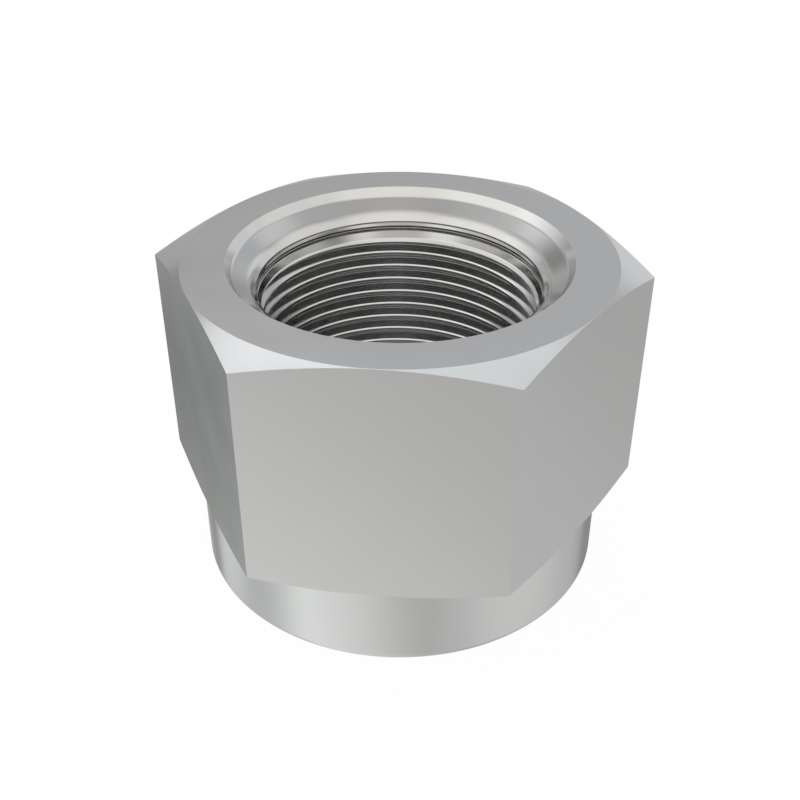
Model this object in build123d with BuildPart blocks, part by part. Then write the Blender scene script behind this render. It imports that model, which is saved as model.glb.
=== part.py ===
from build123d import *
import os
from math import radians, tan

# A steel lock nut, turned and bored from hexagon bar: a tall hexagon above a round collar,
# with a dished mouth, a locking groove and a fine thread through its whole length.
# It stands on its collar, with its axis on Z and the origin in the middle of the collar's end.

# Outside
across_flats = 40.0
total_height = 31.5
hexagon_height = 23.4
collar_diameter = 39.9
collar_edge_round = 0.7
end_chamfer_angle = 20.0
top_chamfer_diameter = 39.9
underside_chamfer_diameter = 40.6

# Mouth of the bore, each place as a diameter and a depth below the top face
mouth_diameter = 31.9
dish_rim_bend_diameter, dish_rim_bend_depth = 31.64, 0.41
dish_rim_diameter, dish_rim_depth = 31.12, 0.98
dish_foot_diameter, dish_foot_depth = 27.32, 1.79
dish_foot_bend_diameter, dish_foot_bend_depth = 26.88, 2.2
throat_diameter, throat_depth = 26.54, 2.68

# The plain entry below the throat's edge, which narrows slightly down to the locking groove
entry_edge_depth = 2.76
entry_foot_diameter = 26.32
groove_top_depth = 3.08
groove_floor_top_depth = 3.1
groove_floor_foot_depth = 3.34
groove_foot_depth = 3.41
groove_floor_diameter = 27.4

# Below the groove, a narrow land and the lead-in, which grows steeper at its foot
land_diameter, land_foot_depth = 26.44, 3.69
lead_in_bend_diameter, lead_in_bend_depth = 25.8, 4.17

# The bore that the thread is cut in (M27 x 1.5)
minor_diameter = 25.376
thread_start_depth = 4.78
exit_chamfer_diameter = 27.4
exit_chamfer_angle = 45.0

# Radii and heights that follow from these
corner_radius = across_flats / 3**0.5
beyond_corner = corner_radius + 1.0
underside_z = total_height - hexagon_height
chamfer_slope = tan(radians(end_chamfer_angle))
top_chamfer_drop = (beyond_corner - top_chamfer_diameter / 2) * chamfer_slope
underside_chamfer_rise = (beyond_corner - underside_chamfer_diameter / 2) * chamfer_slope
exit_chamfer_rise = (exit_chamfer_diameter - minor_diameter) / 2 * tan(radians(exit_chamfer_angle))


with BuildPart() as lock_nut:
    # The hexagon bar, with two flats square to Y
    with BuildSketch():
        RegularPolygon(radius=across_flats / 2, side_count=6, major_radius=False)
    extrude(amount=total_height)

    # What the lathe leaves of it: half of the turned section, drawn in the XZ plane
    with BuildSketch(Plane.XZ):
        with BuildLine():
            # Collar, from its end face round its edge up to the underside of the hexagon
            Line((exit_chamfer_diameter / 2, 0), (collar_diameter / 2 - collar_edge_round, 0))
            RadiusArc(
                (collar_diameter / 2 - collar_edge_round, 0),
                (collar_diameter / 2, collar_edge_round),
                -collar_edge_round,
            )
            # Both ends of the hexagon are chamfered to a circle
            Polyline(
                (collar_diameter / 2, collar_edge_round),
                (collar_diameter / 2, underside_z),
                (underside_chamfer_diameter / 2, underside_z),
                (beyond_corner, underside_z + underside_chamfer_rise),
                (beyond_corner, total_height - top_chamfer_drop),
                (top_chamfer_diameter / 2, total_height),
                (mouth_diameter / 2, total_height),
            )
            # The dish: a steep rim, a shallow floor and a steep foot
            Polyline(
                (mouth_diameter / 2, total_height),
                (dish_rim_bend_diameter / 2, total_height - dish_rim_bend_depth),
                (dish_rim_diameter / 2, total_height - dish_rim_depth),
                (dish_foot_diameter / 2, total_height - dish_foot_depth),
                (dish_foot_bend_diameter / 2, total_height - dish_foot_bend_depth),
                (throat_diameter / 2, total_height - throat_depth),
            )
            # The entry, its locking groove and the lead-in, then the bore and its exit chamfer
            Polyline(
                (throat_diameter / 2, total_height - throat_depth),
                (throat_diameter / 2, total_height - entry_edge_depth),
                (entry_foot_diameter / 2, total_height - groove_top_depth),
                (groove_floor_diameter / 2, total_height - groove_floor_top_depth),
                (groove_floor_diameter / 2, total_height - groove_floor_foot_depth),
                (land_diameter / 2, total_height - groove_foot_depth),
                (land_diameter / 2, total_height - land_foot_depth),
                (lead_in_bend_diameter / 2, total_height - lead_in_bend_depth),
                (minor_diameter / 2, total_height - thread_start_depth),
                (minor_diameter / 2, exit_chamfer_rise),
                (exit_chamfer_diameter / 2, 0),
            )
        make_face()
    revolve(axis=Axis.Z, mode=Mode.INTERSECT)

lock_nut.part.label = "lock_nut"

os.makedirs("parts", exist_ok=True)
export_step(lock_nut.part, "parts/lock_nut.step")
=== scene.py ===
from math import atan2, cos, degrees, pi, radians, sin, tan

import bpy
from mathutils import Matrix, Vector


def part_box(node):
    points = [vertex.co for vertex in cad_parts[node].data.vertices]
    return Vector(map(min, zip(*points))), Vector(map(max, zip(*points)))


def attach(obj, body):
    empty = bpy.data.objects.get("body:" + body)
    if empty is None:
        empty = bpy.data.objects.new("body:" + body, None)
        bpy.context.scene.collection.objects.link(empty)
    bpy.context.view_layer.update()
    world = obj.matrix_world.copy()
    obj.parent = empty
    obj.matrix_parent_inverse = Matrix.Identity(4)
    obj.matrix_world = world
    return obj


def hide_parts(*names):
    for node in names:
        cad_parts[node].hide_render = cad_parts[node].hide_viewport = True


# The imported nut: its frame is kept, and its size is noted before anything is added. Sizes are
# written in millimetres, and mm turns them to metres.
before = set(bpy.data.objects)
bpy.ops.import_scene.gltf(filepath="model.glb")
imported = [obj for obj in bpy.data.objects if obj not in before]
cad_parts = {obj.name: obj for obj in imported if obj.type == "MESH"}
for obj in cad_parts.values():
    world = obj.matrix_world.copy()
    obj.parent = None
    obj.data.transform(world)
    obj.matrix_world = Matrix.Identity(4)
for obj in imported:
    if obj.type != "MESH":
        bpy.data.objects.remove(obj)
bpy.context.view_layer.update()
mm = 0.001
nut_low, nut_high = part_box("lock_nut")
total_height = (nut_high.z - nut_low.z) / mm


# Steel nut
# One piece of free-cutting steel, turned and bored from drawn hexagon bar, then threaded with a
# single-point tool. The half-section below is what the lathe leaves, the bar gives the six flats,
# and the thread tool's path is taken out of the bore last.
across_flats = 40.0
hexagon_height = 23.4
collar_diameter = 39.9
collar_edge_round = 0.7
end_chamfer_angle = 20.0
top_chamfer_diameter = 39.9
underside_chamfer_diameter = 40.6

# Mouth of the bore, as radius, depth below the top face and blend radius
mouth_radius = 15.95
dish = [
    (15.39, 0.88, 0.6),
    (13.84, 1.91, 1.9),
    (13.27, 2.68, 0.0),
]
entry = [
    (13.27, 2.76, 0.6),
    (13.16, 3.08, 0.0),
    (13.7, 3.1, 0.0),
    (13.7, 3.26, 0.0),
    (13.22, 3.33, 0.05),
    (13.25, 3.67, 0.0),
    (13.2, 3.7, 0.0),
    (12.95, 4.42, 0.3),
]
lead_in_end = (12.688, 4.71)

pilot_radius = 12.68
exit_chamfer_radius = 13.7

# Thread, M27 x 1.5, with the crest and root flats of the standard profile. Each crest has its
# upper edge broken and its lower edge rounded, as a light finishing pass leaves them.
pitch = 1.5
thread_angle = 60.0
minor_radius = 12.688
major_radius = 13.5
crest_edge_break = 0.09
crest_edge_slope = 55.0
crest_foot_round = 0.1
root_round = 0.05
# The thread stands where its top groove has this depth at the bore's far side. It ends half a
# turn on from there, fading out over its last quarter turn.
far_side_azimuth = 95.9
groove_depth_on_far_side = 5.27
thread_end_turn = 0.5
thread_turns = 19
fade_turn = 0.25

# How finely the mesh is drawn, the angle in degrees above which an edge is sharp, and how close
# points are welded
turning_steps = 288.0
thread_steps = 192.0
thread_round_step = 15
sharp_angle = 17.5
weld_distance = 0.0015


def blended(corners, step=6):
    # Corners are (radius, height, blend); each blend is an arc that touches both lines, drawn in
    # steps of so many degrees
    points = []
    count = len(corners)
    for i, (r, z, blend) in enumerate(corners):
        here = Vector((r, z))
        if blend == 0:
            points.append(here)
            continue
        before = Vector(corners[i - 1][:2]) - here
        after = Vector(corners[(i + 1) % count][:2]) - here
        half = before.angle(after) / 2
        reach = blend / tan(half)
        start = here + before.normalized() * reach
        end = here + after.normalized() * reach
        middle = here + (before.normalized() + after.normalized()).normalized() * blend / sin(half)
        first = atan2(start.y - middle.y, start.x - middle.x)
        sweep = atan2(end.y - middle.y, end.x - middle.x) - first
        sweep = (sweep + pi) % (2 * pi) - pi
        steps = max(2, round(abs(degrees(sweep)) / step))
        for k in range(steps + 1):
            angle = first + sweep * k / steps
            points.append(middle + Vector((cos(angle), sin(angle))) * blend)
    return points


def guarded(points, guard=0.03, least=0.12):
    # A straight cut gets a line close to each end, so that its shading stays flat up to its edges
    result = []
    count = len(points)
    for i, here in enumerate(points):
        after = points[(i + 1) % count]
        result.append(here)
        length = (after - here).length
        if length > least:
            result.append(here.lerp(after, guard / length))
            result.append(here.lerp(after, 1 - guard / length))
    return result


corner_radius = across_flats / 3**0.5
cutting_margin = 1.0
beyond = corner_radius + cutting_margin
slope = tan(radians(end_chamfer_angle))
underside = total_height - hexagon_height
lead_in_slope = (lead_in_end[1] - entry[-1][1]) / (entry[-1][0] - lead_in_end[0])
pilot_top = total_height - lead_in_end[1] - (lead_in_end[0] - pilot_radius) * lead_in_slope
section_corners = [
    (exit_chamfer_radius, 0.0, 0.0),
    (collar_diameter / 2, 0.0, collar_edge_round),
    (collar_diameter / 2, underside, 0.0),
    (underside_chamfer_diameter / 2, underside, 0.0),
    (beyond, underside + (beyond - underside_chamfer_diameter / 2) * slope, 0.0),
    (beyond, total_height - (beyond - top_chamfer_diameter / 2) * slope, 0.0),
    (top_chamfer_diameter / 2, total_height, 0.0),
    (mouth_radius, total_height, 0.0),
]
section_corners += [(r, total_height - d, blend) for r, d, blend in dish + entry]
section_corners += [
    (pilot_radius, pilot_top, 0.0),
    (pilot_radius, exit_chamfer_radius - pilot_radius, 0.0),
]
section_points = guarded(blended(section_corners))

# The groove between two crests, from below to above. Its root flat is an eighth of the pitch.
flank_slope = tan(radians(thread_angle / 2))
half_root = pitch / 16
half_mouth = half_root + (major_radius - minor_radius) * flank_slope
crest_edge_drop = crest_edge_break * (tan(radians(crest_edge_slope)) - flank_slope)
thread_corners = [
    (minor_radius, -pitch / 2, 0.0),
    (minor_radius, -half_mouth - crest_edge_drop, 0.0),
    (minor_radius + crest_edge_break, -half_mouth + crest_edge_break * flank_slope, 0.0),
    (major_radius, -half_root, root_round),
    (major_radius, half_root, root_round),
    (minor_radius, half_mouth, crest_foot_round),
    (minor_radius, pitch / 2, 0.0),
]


def wire(name, points, closed):
    # A drawn outline, with its radius along X and its height along Y
    mesh = bpy.data.meshes.new(name)
    edges = [(i, i + 1) for i in range(len(points) - 1)]
    if closed:
        edges.append((len(points) - 1, 0))
    mesh.from_pydata([(p.x * mm, p.y * mm, 0.0) for p in points], edges, [])
    made = bpy.data.objects.new(name, mesh)
    bpy.context.scene.collection.objects.link(made)
    return made


def add(tree, kind, inputs=None, **settings):
    # Adds a node, gives it its settings, and sets or links its inputs
    made = tree.nodes.new(kind)
    for name, value in settings.items():
        setattr(made, name, value)
    for key, value in (inputs or {}).items():
        if isinstance(value, bpy.types.NodeSocket):
            tree.links.new(value, made.inputs[key])
        else:
            made.inputs[key].default_value = value
    return made


def new_tree(name, sockets_in, sockets_out):
    # An empty Geometry Nodes tree with its named inputs and outputs
    tree = bpy.data.node_groups.new(name, "GeometryNodeTree")
    for label, kind in sockets_in:
        tree.interface.new_socket(label, in_out="INPUT", socket_type=kind)
    for label, kind in sockets_out:
        tree.interface.new_socket(label, in_out="OUTPUT", socket_type=kind)
    return tree


# Turns a drawn outline round Z: the outline is swept along a straight line as long as the turn's
# angle, and the strip is then wrapped round the axis, rising by the lead in each turn
turning = new_tree(
    "turning",
    [
        ("Outline", "NodeSocketGeometry"),
        ("Core radius", "NodeSocketFloat"),
        ("Turns", "NodeSocketFloat"),
        ("Steps in a turn", "NodeSocketFloat"),
        ("Lead", "NodeSocketFloat"),
        ("Start height", "NodeSocketFloat"),
        ("Start angle", "NodeSocketFloat"),
        ("Fading turn", "NodeSocketFloat"),
    ],
    [("Surface", "NodeSocketGeometry")],
)
given = add(turning, "NodeGroupInput").outputs
total_angle = add(turning, "ShaderNodeMath", {0: given["Turns"], 1: 2 * pi}, operation="MULTIPLY")
line_end = add(turning, "ShaderNodeCombineXYZ", {"X": total_angle.outputs[0]})
line = add(turning, "GeometryNodeCurvePrimitiveLine", {"End": line_end.outputs[0]})
step_count = add(
    turning,
    "ShaderNodeMath",
    {0: given["Turns"], 1: given["Steps in a turn"], 2: 1.0},
    operation="MULTIPLY_ADD",
)
line_points = add(
    turning, "GeometryNodeResampleCurve", {"Curve": line.outputs[0], "Count": step_count.outputs[0]}
)
outline = add(turning, "GeometryNodeMeshToCurve", {"Mesh": given["Outline"]})
strip = add(
    turning,
    "GeometryNodeCurveToMesh",
    {"Curve": line_points.outputs[0], "Profile Curve": outline.outputs[0]},
)
place = add(turning, "GeometryNodeInputPosition")
parts = add(turning, "ShaderNodeSeparateXYZ", {0: place.outputs[0]})
out_radius = add(turning, "ShaderNodeMath", {0: parts.outputs["Y"]}, operation="ABSOLUTE")
drawn_height = add(turning, "ShaderNodeMath", {0: parts.outputs["Z"], 1: -1.0}, operation="MULTIPLY")
# How much of the outline is left: all of it, down to none over the last part of a turn. The
# margin keeps an outline that doesn't fade whole up to its end.
angle_margin = 0.001
last_angle = add(
    turning, "ShaderNodeMath", {0: total_angle.outputs[0], 1: angle_margin}, operation="ADD"
)
angle_left = add(
    turning, "ShaderNodeMath", {0: last_angle.outputs[0], 1: parts.outputs["X"]}, operation="SUBTRACT"
)
fade_angle = add(
    turning,
    "ShaderNodeMath",
    {0: given["Fading turn"], 1: 2 * pi, 2: angle_margin},
    operation="MULTIPLY_ADD",
)
fade = add(
    turning,
    "ShaderNodeMapRange",
    {"Value": angle_left.outputs[0], "From Min": 0.0, "From Max": fade_angle.outputs[0]},
    interpolation_type="SMOOTHSTEP",
)
above_core = add(
    turning, "ShaderNodeMath", {0: out_radius.outputs[0], 1: given["Core radius"]}, operation="SUBTRACT"
)
turned_radius = add(
    turning,
    "ShaderNodeMath",
    {0: above_core.outputs[0], 1: fade.outputs[0], 2: given["Core radius"]},
    operation="MULTIPLY_ADD",
)
angle = add(
    turning, "ShaderNodeMath", {0: parts.outputs["X"], 1: given["Start angle"]}, operation="ADD"
)
cosine = add(turning, "ShaderNodeMath", {0: angle.outputs[0]}, operation="COSINE")
sine = add(turning, "ShaderNodeMath", {0: angle.outputs[0]}, operation="SINE")
wrapped_x = add(
    turning, "ShaderNodeMath", {0: turned_radius.outputs[0], 1: cosine.outputs[0]}, operation="MULTIPLY"
)
wrapped_y = add(
    turning, "ShaderNodeMath", {0: turned_radius.outputs[0], 1: sine.outputs[0]}, operation="MULTIPLY"
)
lead_per_radian = add(turning, "ShaderNodeMath", {0: given["Lead"], 1: 2 * pi}, operation="DIVIDE")
risen = add(
    turning,
    "ShaderNodeMath",
    {0: parts.outputs["X"], 1: lead_per_radian.outputs[0], 2: drawn_height.outputs[0]},
    operation="MULTIPLY_ADD",
)
wrapped_z = add(
    turning, "ShaderNodeMath", {0: risen.outputs[0], 1: given["Start height"]}, operation="ADD"
)
wrapped = add(
    turning,
    "ShaderNodeCombineXYZ",
    {"X": wrapped_x.outputs[0], "Y": wrapped_y.outputs[0], "Z": wrapped_z.outputs[0]},
)
moved = add(
    turning,
    "GeometryNodeSetPosition",
    {"Geometry": strip.outputs[0], "Position": wrapped.outputs[0]},
)
joined = add(
    turning,
    "GeometryNodeMergeByDistance",
    {"Geometry": moved.outputs[0], "Distance": weld_distance * mm},
)
outward = add(turning, "GeometryNodeFlipFaces", {"Mesh": joined.outputs[0]})
add(turning, "NodeGroupOutput", {0: outward.outputs[0]})

nut_tree = new_tree(
    "nut from bar",
    [
        ("Half-section", "NodeSocketGeometry"),
        ("Thread outline", "NodeSocketObject"),
        ("Across flats", "NodeSocketFloat"),
        ("Total height", "NodeSocketFloat"),
        ("Turning steps", "NodeSocketFloat"),
        ("Core radius", "NodeSocketFloat"),
        ("Pitch", "NodeSocketFloat"),
        ("Thread turns", "NodeSocketFloat"),
        ("Thread steps", "NodeSocketFloat"),
        ("Thread start height", "NodeSocketFloat"),
        ("Thread start angle", "NodeSocketFloat"),
        ("Fading turn", "NodeSocketFloat"),
        ("Sharp above", "NodeSocketFloat"),
        ("Steel", "NodeSocketMaterial"),
    ],
    [("Nut", "NodeSocketGeometry")],
)
given = add(nut_tree, "NodeGroupInput").outputs

# The turned blank: one turn of the half-section, with nothing faded
blank = add(
    nut_tree,
    "GeometryNodeGroup",
    {
        "Outline": given["Half-section"],
        "Core radius": 0.0,
        "Turns": 1.0,
        "Steps in a turn": given["Turning steps"],
        "Lead": 0.0,
        "Start height": 0.0,
        "Start angle": 0.0,
        "Fading turn": 0.0,
    },
    node_tree=turning,
)
# The bar: a hexagon with two corners on X, longer than the nut
bar_radius = add(
    nut_tree, "ShaderNodeMath", {0: given["Across flats"], 1: 3**0.5}, operation="DIVIDE"
)
bar_length = add(nut_tree, "ShaderNodeMath", {0: given["Total height"], 1: 2.0}, operation="MULTIPLY")
bar = add(
    nut_tree,
    "GeometryNodeMeshCylinder",
    {"Vertices": 6, "Radius": bar_radius.outputs[0], "Depth": bar_length.outputs[0]},
)
bar_rise = add(nut_tree, "ShaderNodeMath", {0: given["Total height"], 1: 0.5}, operation="MULTIPLY")
bar_place = add(nut_tree, "ShaderNodeCombineXYZ", {"Z": bar_rise.outputs[0]})
bar_set = add(
    nut_tree,
    "GeometryNodeTransform",
    {"Geometry": bar.outputs[0], "Translation": bar_place.outputs[0]},
)
hexagon_blank = add(
    nut_tree, "GeometryNodeMeshBoolean", operation="INTERSECT", solver="MANIFOLD"
)
nut_tree.links.new(blank.outputs[0], hexagon_blank.inputs["Mesh 2"])
nut_tree.links.new(bar_set.outputs[0], hexagon_blank.inputs["Mesh 2"])

# The thread tool's path: one pitch of the thread, wound upwards and fading out at its top. Its two
# open ends are closed to points on the axis, above and below the nut.
upper_point_share = 1.1
lower_point = -5.0
thread_outline = add(nut_tree, "GeometryNodeObjectInfo", {"Object": given["Thread outline"]})
path = add(
    nut_tree,
    "GeometryNodeGroup",
    {
        "Outline": thread_outline.outputs["Geometry"],
        "Core radius": given["Core radius"],
        "Turns": given["Thread turns"],
        "Steps in a turn": given["Thread steps"],
        "Lead": given["Pitch"],
        "Start height": given["Thread start height"],
        "Start angle": given["Thread start angle"],
        "Fading turn": given["Fading turn"],
    },
    node_tree=turning,
)
face_count = add(nut_tree, "GeometryNodeInputMeshEdgeNeighbors")
open_edge = add(
    nut_tree,
    "FunctionNodeCompare",
    {2: face_count.outputs[0], 3: 1},
    data_type="INT",
    operation="EQUAL",
)
caps = add(
    nut_tree,
    "GeometryNodeExtrudeMesh",
    {"Mesh": path.outputs[0], "Selection": open_edge.outputs[0], "Offset Scale": 0.0},
    mode="EDGES",
)
cap_place = add(nut_tree, "GeometryNodeInputPosition")
cap_parts = add(nut_tree, "ShaderNodeSeparateXYZ", {0: cap_place.outputs[0]})
upper = add(
    nut_tree,
    "ShaderNodeMath",
    {0: cap_parts.outputs["Z"], 1: bar_rise.outputs[0]},
    operation="GREATER_THAN",
)
upper_point = add(
    nut_tree,
    "ShaderNodeMath",
    {0: given["Total height"], 1: upper_point_share},
    operation="MULTIPLY",
)
cap_height = add(
    nut_tree,
    "ShaderNodeMapRange",
    {"Value": upper.outputs[0], "To Min": lower_point * mm, "To Max": upper_point.outputs[0]},
)
cap_point = add(nut_tree, "ShaderNodeCombineXYZ", {"Z": cap_height.outputs[0]})
drawn_in = add(
    nut_tree,
    "GeometryNodeSetPosition",
    {
        "Geometry": caps.outputs["Mesh"],
        "Selection": caps.outputs["Top"],
        "Position": cap_point.outputs[0],
    },
)
closed_path = add(
    nut_tree,
    "GeometryNodeMergeByDistance",
    {"Geometry": drawn_in.outputs[0], "Distance": weld_distance * mm},
)
threaded = add(nut_tree, "GeometryNodeMeshBoolean", operation="DIFFERENCE", solver="MANIFOLD")
nut_tree.links.new(hexagon_blank.outputs[0], threaded.inputs["Mesh 1"])
nut_tree.links.new(closed_path.outputs[0], threaded.inputs["Mesh 2"])

# Turned surfaces are smooth, and an edge stays sharp where its two faces meet at an angle
smooth = add(
    nut_tree, "GeometryNodeSetShadeSmooth", {"Geometry": threaded.outputs[0], "Shade Smooth": True}
)
edge_angle = add(nut_tree, "GeometryNodeInputMeshEdgeAngle")
soft_edge = add(
    nut_tree,
    "ShaderNodeMath",
    {0: edge_angle.outputs[0], 1: given["Sharp above"]},
    operation="LESS_THAN",
)
edged = add(
    nut_tree,
    "GeometryNodeSetShadeSmooth",
    {"Geometry": smooth.outputs[0], "Shade Smooth": soft_edge.outputs[0]},
    domain="EDGE",
)
real = add(nut_tree, "GeometryNodeRealizeInstances", {"Geometry": edged.outputs[0]})
steel_set = add(
    nut_tree, "GeometryNodeSetMaterial", {"Geometry": real.outputs[0], "Material": given["Steel"]}
)
add(nut_tree, "NodeGroupOutput", {0: steel_set.outputs[0]})


def linear(hex_colour):
    # An sRGB hex colour as linear values
    channels = [int(hex_colour[i : i + 2], 16) / 255 for i in (1, 3, 5)]
    values = [c / 12.92 if c <= 0.04045 else ((c + 0.055) / 1.055) ** 2.4 for c in channels]
    return (*values, 1.0)


# Bright steel, left satin. Fine feed marks run round everything that was turned, and the flats
# keep the lengthwise grain of the drawn bar. Both only stir the reflections a little.
# A real feed mark is near 0.05 mm wide, so the marks are drawn coarser than that.
feed_mark_width = 0.14
grain_width = 0.18
grain_length = 5.0
mark_depth = 0.0005
gloss_patch_width = 6.0
smoothest = 0.13
roughest = 0.19
steel = bpy.data.materials.new("satin turned steel")
steel.use_nodes = True
steel_tree = steel.node_tree
shader = steel_tree.nodes["Principled BSDF"]
shader.inputs["Base Color"].default_value = linear("#CECECE")
shader.inputs["Metallic"].default_value = 1.0
place = add(steel_tree, "ShaderNodeTexCoord").outputs
in_mm = add(steel_tree, "ShaderNodeVectorMath", {0: place["Object"], "Scale": 1 / mm}, operation="SCALE")
off_axis = add(
    steel_tree, "ShaderNodeVectorMath", {0: in_mm.outputs[0], 1: (1.0, 1.0, 0.0)}, operation="MULTIPLY"
)
radius = add(steel_tree, "ShaderNodeVectorMath", {0: off_axis.outputs[0]}, operation="LENGTH")
height = add(steel_tree, "ShaderNodeSeparateXYZ", {0: in_mm.outputs[0]})
lathe_place = add(
    steel_tree, "ShaderNodeCombineXYZ", {"X": radius.outputs["Value"], "Y": height.outputs["Z"]}
)
feed_marks = add(
    steel_tree,
    "ShaderNodeTexNoise",
    {"Vector": lathe_place.outputs[0], "Scale": 1 / feed_mark_width, "Detail": 2.0},
    noise_dimensions="2D",
)
along_bar = add(
    steel_tree,
    "ShaderNodeVectorMath",
    {0: in_mm.outputs[0], 1: (1 / grain_width, 1 / grain_width, 1 / grain_length)},
    operation="MULTIPLY",
)
grain = add(
    steel_tree, "ShaderNodeTexNoise", {"Vector": along_bar.outputs[0], "Scale": 1.0, "Detail": 2.0}
)
# A flat faces sideways and lies outside the collar's radius
sideways_below = 0.5
collar_margin = 0.02
facing = add(steel_tree, "ShaderNodeSeparateXYZ", {0: place["Normal"]})
tilt = add(steel_tree, "ShaderNodeMath", {0: facing.outputs["Z"]}, operation="ABSOLUTE")
upright = add(
    steel_tree, "ShaderNodeMath", {0: tilt.outputs[0], 1: sideways_below}, operation="LESS_THAN"
)
outside = add(
    steel_tree,
    "ShaderNodeMath",
    {0: radius.outputs["Value"], 1: collar_diameter / 2 + collar_margin},
    operation="GREATER_THAN",
)
on_flat = add(
    steel_tree, "ShaderNodeMath", {0: upright.outputs[0], 1: outside.outputs[0]}, operation="MULTIPLY"
)
marks = add(
    steel_tree,
    "ShaderNodeMix",
    {0: on_flat.outputs[0], 2: feed_marks.outputs[0], 3: grain.outputs[0]},
)
# The bore and its thread are cut with a fine finishing pass, so the marks fade out there
finest_inside = 13.8
share_in_bore = 0.1
mark_strength = add(
    steel_tree,
    "ShaderNodeMapRange",
    {
        "Value": radius.outputs["Value"],
        "From Min": finest_inside,
        "From Max": mouth_radius,
        "To Min": share_in_bore,
    },
)
relief = add(
    steel_tree,
    "ShaderNodeBump",
    {"Strength": mark_strength.outputs[0], "Distance": mark_depth * mm, "Height": marks.outputs[0]},
)
steel_tree.links.new(relief.outputs[0], shader.inputs["Normal"])
patches = add(
    steel_tree,
    "ShaderNodeTexNoise",
    {"Vector": in_mm.outputs[0], "Scale": 1 / gloss_patch_width, "Detail": 3.0},
)
gloss = add(
    steel_tree,
    "ShaderNodeMapRange",
    {
        "Value": patches.outputs[0],
        "From Min": 0.3,
        "From Max": 0.7,
        "To Min": smoothest,
        "To Max": roughest,
    },
)
steel_tree.links.new(gloss.outputs[0], shader.inputs["Roughness"])

section = wire("nut half-section", section_points, closed=True)
thread_wire = wire("thread outline", blended(thread_corners, step=thread_round_step), closed=False)
thread_top = total_height - groove_depth_on_far_side + pitch * thread_end_turn
thread_end_angle = radians(far_side_azimuth) + 2 * pi * thread_end_turn
settings = {
    "Thread outline": thread_wire,
    "Across flats": across_flats * mm,
    "Total height": total_height * mm,
    "Turning steps": turning_steps,
    "Core radius": minor_radius * mm,
    "Pitch": pitch * mm,
    "Thread turns": float(thread_turns),
    "Thread steps": thread_steps,
    "Thread start height": (thread_top - thread_turns * pitch) * mm,
    "Thread start angle": thread_end_angle,
    "Fading turn": fade_turn,
    "Sharp above": radians(sharp_angle),
    "Steel": steel,
}
machining = section.modifiers.new("machining", "NODES")
machining.node_group = nut_tree
for item in nut_tree.interface.items_tree:
    if item.in_out == "INPUT" and item.name in settings:
        machining[item.identifier] = settings[item.name]
bpy.context.view_layer.update()
evaluated = section.evaluated_get(bpy.context.evaluated_depsgraph_get())
nut_mesh = bpy.data.meshes.new_from_object(evaluated)
nut_mesh.name = "lock nut"
nut = bpy.data.objects.new("threaded_lock_nut", nut_mesh)
bpy.context.scene.collection.objects.link(nut)
section.modifiers.remove(machining)
bpy.data.objects.remove(section)
bpy.data.objects.remove(thread_wire)
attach(nut, "root")
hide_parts("lock_nut")


# Floor
# A plain white paper sweep that the nut stands on. The camera sees it white with the nut's faint
# shadow. The steel sees past it to the studio, except under the bore, whose foot it closes, so
# that the thread's grooves stay dark.
floor_reach = 3000.0 * mm
paper_glow = 0.97
floor_mesh = bpy.data.meshes.new("floor")
floor_mesh.from_pydata(
    [
        (-floor_reach, -floor_reach, 0),
        (floor_reach, -floor_reach, 0),
        (floor_reach, floor_reach, 0),
        (-floor_reach, floor_reach, 0),
    ],
    [],
    [(0, 1, 2, 3)],
)
floor = bpy.data.objects.new("floor", floor_mesh)
bpy.context.scene.collection.objects.link(floor)
paper = bpy.data.materials.new("white paper sweep")
paper.use_nodes = True
paper_tree = paper.node_tree
paper_tree.nodes.clear()
ray = add(paper_tree, "ShaderNodeLightPath")
matt = add(paper_tree, "ShaderNodeBsdfDiffuse", {"Color": linear("#FFFFFF")})
glow = add(paper_tree, "ShaderNodeEmission", {"Color": linear("#FFFFFF"), "Strength": 1.0})
seen = add(
    paper_tree, "ShaderNodeMixShader", {0: paper_glow, 1: matt.outputs[0], 2: glow.outputs[0]}
)
clear = add(paper_tree, "ShaderNodeBsdfTransparent")
kept = add(
    paper_tree,
    "ShaderNodeMixShader",
    {0: ray.outputs["Is Camera Ray"], 1: matt.outputs[0], 2: seen.outputs[0]},
)
floor_place = add(paper_tree, "ShaderNodeTexCoord")
from_axis = add(
    paper_tree, "ShaderNodeVectorMath", {0: floor_place.outputs["Object"]}, operation="LENGTH"
)
beside_bore = add(
    paper_tree,
    "ShaderNodeMath",
    {0: from_axis.outputs["Value"], 1: exit_chamfer_radius * mm},
    operation="GREATER_THAN",
)
seen_past = add(
    paper_tree,
    "ShaderNodeMath",
    {0: ray.outputs["Is Glossy Ray"], 1: beside_bore.outputs[0]},
    operation="MULTIPLY",
)
passed = add(
    paper_tree, "ShaderNodeMixShader", {0: seen_past.outputs[0], 1: kept.outputs[0], 2: clear.outputs[0]}
)
add(paper_tree, "ShaderNodeOutputMaterial", {"Surface": passed.outputs[0]})
floor_mesh.materials.append(paper)


# Studio
# Soft boxes in a pale room, with flags and a net that take light away, as a world round the nut.
# The camera sees the background white, and the steel shows a share of that white under the
# boxes' own light.
studio = bpy.data.worlds.new("studio")
bpy.context.scene.world = studio
studio.use_nodes = True
studio_tree = studio.node_tree
studio_tree.nodes.clear()
camera_azimuth = -84.141
white_in_steel = 0.22
room_level = 0.41
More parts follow.
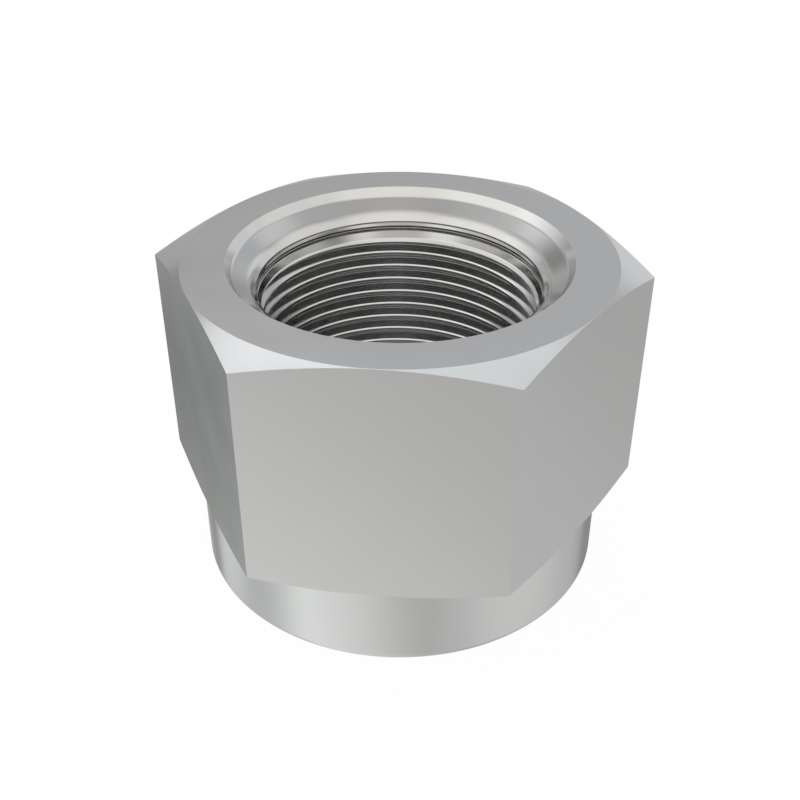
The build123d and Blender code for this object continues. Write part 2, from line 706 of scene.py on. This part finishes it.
# Name, azimuth, elevation, two half-widths, colour and strength. Azimuth 0 points away from the
# camera and grows to its right. A box is at its full strength within the first half-width, in
# degrees, and has faded out at the second. A strength below 0 is a flag or a net.
soft_boxes = [
    ("left upper bank", -70, 5, 0, 35, "#FCFDFF", 0.5),
    ("left front bank", -110, 15, 0, 50, "#FFFCF6", 0.8),
    ("left bank", -80, 35, 15, 45, "#FFFDFB", 0.2),
    ("right front bank", 130, 30, 0, 20, "#FFFDF7", 0.15),
    ("right low bank", 110, -25, 5, 40, "#FDFFF8", 0.3),
    ("right rear bank", 45, 0, 20, 30, "#F9FBFF", 0.45),
    ("right upper bank", 90, 25, 10, 35, "#FFFBF3", 0.6),
    ("front upper bank", 175, 35, 0, 60, "#FFF9F0", 0.8),
    ("overhead box at the left rear", -20, 50, 15, 20, "#F5F9FF", 0.85),
    ("overhead box at the rear", -5, 60, 20, 25, "#F1F9FF", 0.15),
    ("overhead box at the right rear", 10, 60, 15, 25, "#F1FAFF", 0.55),
    ("overhead box at the right", 45, 45, 0, 15, "#F8FCFF", 0.3),
    ("small box at the right rear", 20, 35, 15, 30, "#D9E8FF", 0.1),
    ("low bounce on the left", -90, -60, 10, 60, "#FBFFFD", 0.8),
    ("low bounce on the right", 105, -45, 30, 40, "#F8FDFF", 0.15),
    ("low bounce at the left side", -60, -20, 5, 30, "#F8FCFF", 0.5),
    ("low bounce in front", 180, -25, 15, 40, "#FFFDF4", 0.15),
    ("net before the left front bank", -110, 0, 10, 30, "#FFFFFF", -0.5),
    ("dark flag in front", 180, 0, 15, 30, "#FFFFFF", -0.55),
    ("dark flag in front on the right", 115, 5, 10, 30, "#FFFFFF", -0.5),
    ("dark flag at the left rear", -45, -10, 15, 30, "#FFFFFF", -0.15),
    ("dark flag at the left rear corner", -40, -20, 5, 25, "#FFFFFF", -0.15),
    ("dark flag at the right rear", 30, -40, 5, 15, "#FFFFFF", -0.3),
    ("dark flag below on the left", -70, -40, 10, 40, "#FFFFFF", -0.6),
    ("dark flag low at the rear", -25, -40, 10, 20, "#FFFFFF", -0.3),
    ("small dark flag behind", -25, 25, 0, 12, "#FFFFFF", -0.3),
    ("dark flag behind", 0, 5, 0, 20, "#FFFFFF", -0.2),
    ("dark floor below", 0, -90, 10, 35, "#FFFFFF", -0.35),
]
direction = add(studio_tree, "ShaderNodeTexCoord")
room_tint = [channel * room_level for channel in linear("#FFFEFC")[:3]]
light = add(
    studio_tree, "ShaderNodeCombineXYZ", {"X": room_tint[0], "Y": room_tint[1], "Z": room_tint[2]}
)
for label, azimuth, elevation, full_to, gone_at, colour, strength in soft_boxes:
    turn = radians(camera_azimuth + 180 - azimuth)
    rise = radians(elevation)
    aim = (cos(rise) * cos(turn), cos(rise) * sin(turn), sin(rise))
    facing = add(
        studio_tree,
        "ShaderNodeVectorMath",
        {0: direction.outputs["Generated"], 1: aim},
        operation="DOT_PRODUCT",
    )
    box = add(
        studio_tree,
        "ShaderNodeMapRange",
        {
            "Value": facing.outputs["Value"],
            "From Min": cos(radians(gone_at)),
            "From Max": cos(radians(full_to)),
        },
        interpolation_type="SMOOTHSTEP",
        label=label,
    )
    tint = [channel * strength for channel in linear(colour)[:3]]
    light = add(
        studio_tree,
        "ShaderNodeVectorMath",
        {0: box.outputs[0], 1: tint, 2: light.outputs[0]},
        operation="MULTIPLY_ADD",
    )
ray = add(studio_tree, "ShaderNodeLightPath")
in_steel = add(
    studio_tree,
    "ShaderNodeMath",
    {0: ray.outputs["Is Glossy Ray"], 1: ray.outputs["Is Transmission Ray"]},
    operation="MAXIMUM",
)
white_seen = add(
    studio_tree,
    "ShaderNodeMath",
    {0: in_steel.outputs[0], 1: white_in_steel, 2: ray.outputs["Is Camera Ray"]},
    operation="MULTIPLY_ADD",
)
room = add(studio_tree, "ShaderNodeBackground", {"Color": light.outputs[0], "Strength": 1.0})
white = add(studio_tree, "ShaderNodeBackground", {"Color": linear("#FFFFFF"), "Strength": 1.0})
shown = add(
    studio_tree,
    "ShaderNodeMixShader",
    {0: white_seen.outputs[0], 1: room.outputs[0], 2: white.outputs[0]},
)
add(studio_tree, "ShaderNodeOutputWorld", {"Surface": shown.outputs[0]})


# Camera
# At the photograph's viewing angle, aimed at a point on the nut's axis.
camera_elevation = 33.385
camera_distance = 110.14
aim_depth = 15.93
aim_height = total_height - aim_depth
film_width = 36.0
lens_length = 49.92
nearest_seen = 5.0
camera_data = bpy.data.cameras.new("camera")
camera_data.sensor_width = film_width
camera_data.lens = lens_length
camera = bpy.data.objects.new("camera", camera_data)
bpy.context.scene.collection.objects.link(camera)
away = Vector(
    (
        cos(radians(camera_elevation)) * cos(radians(camera_azimuth)),
        cos(radians(camera_elevation)) * sin(radians(camera_azimuth)),
        sin(radians(camera_elevation)),
    )
)
camera.location = Vector((0, 0, aim_height * mm)) + away * camera_distance * mm
camera.rotation_euler = (-away).to_track_quat("-Z", "Y").to_euler()
camera_data.clip_start = nearest_seen * mm
bpy.context.scene.camera = camera
bpy.context.scene.view_settings.view_transform = "Standard"
